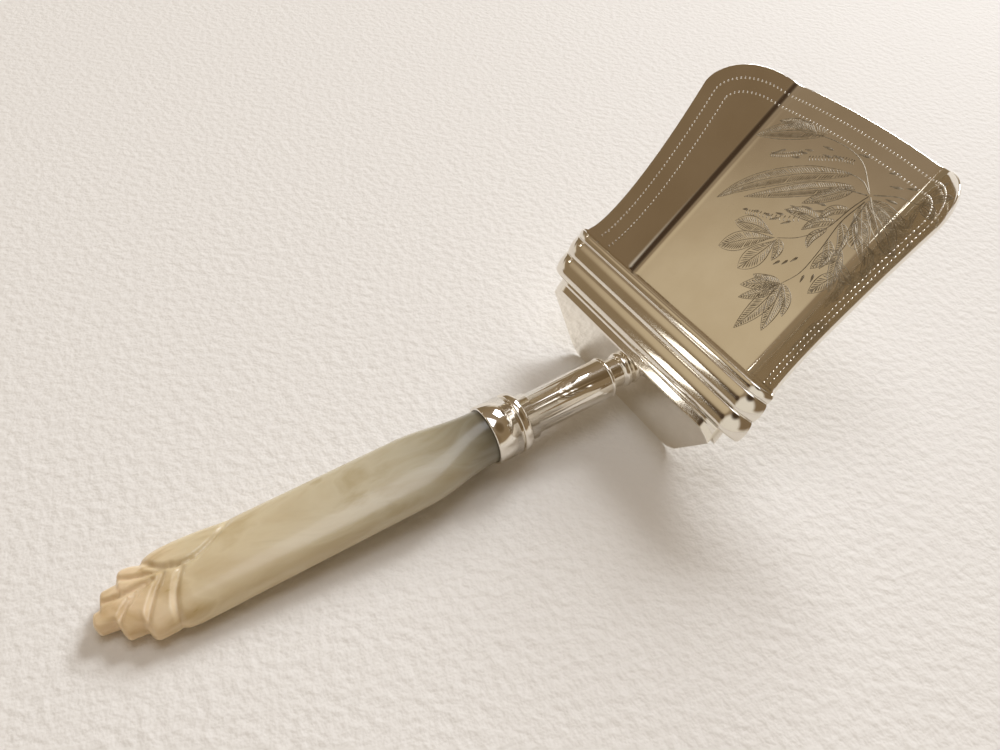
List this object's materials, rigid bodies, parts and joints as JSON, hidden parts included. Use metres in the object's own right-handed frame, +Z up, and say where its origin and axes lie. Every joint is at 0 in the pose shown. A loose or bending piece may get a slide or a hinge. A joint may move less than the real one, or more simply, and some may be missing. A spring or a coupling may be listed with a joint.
{
  "type": "caddy spoon",
  "caption": "Silver tea caddy spoon with a shovel bowl, a reeded hood over its back, a turned ferrule and a flat-oval mother-of-pearl handle with a carved leaf tip.",
  "frame": {"origin": "on the table, under the middle of the spoon's length and width as it rests", "axes": "+X forward from the handle to the bowl, +Y across to the spoon's left, +Z up"},
  "size_m": [0.0812, 0.0298, 0.0271],
  "materials": {
    "silver": "polished",
    "mother_of_pearl": "gloss"
  },
  "bodies": {
    "root": {"bowl": "silver", "hood": "silver", "back_plate": "silver", "ferrule": "silver", "handle": "mother_of_pearl"}
  },
  "joints": []
}
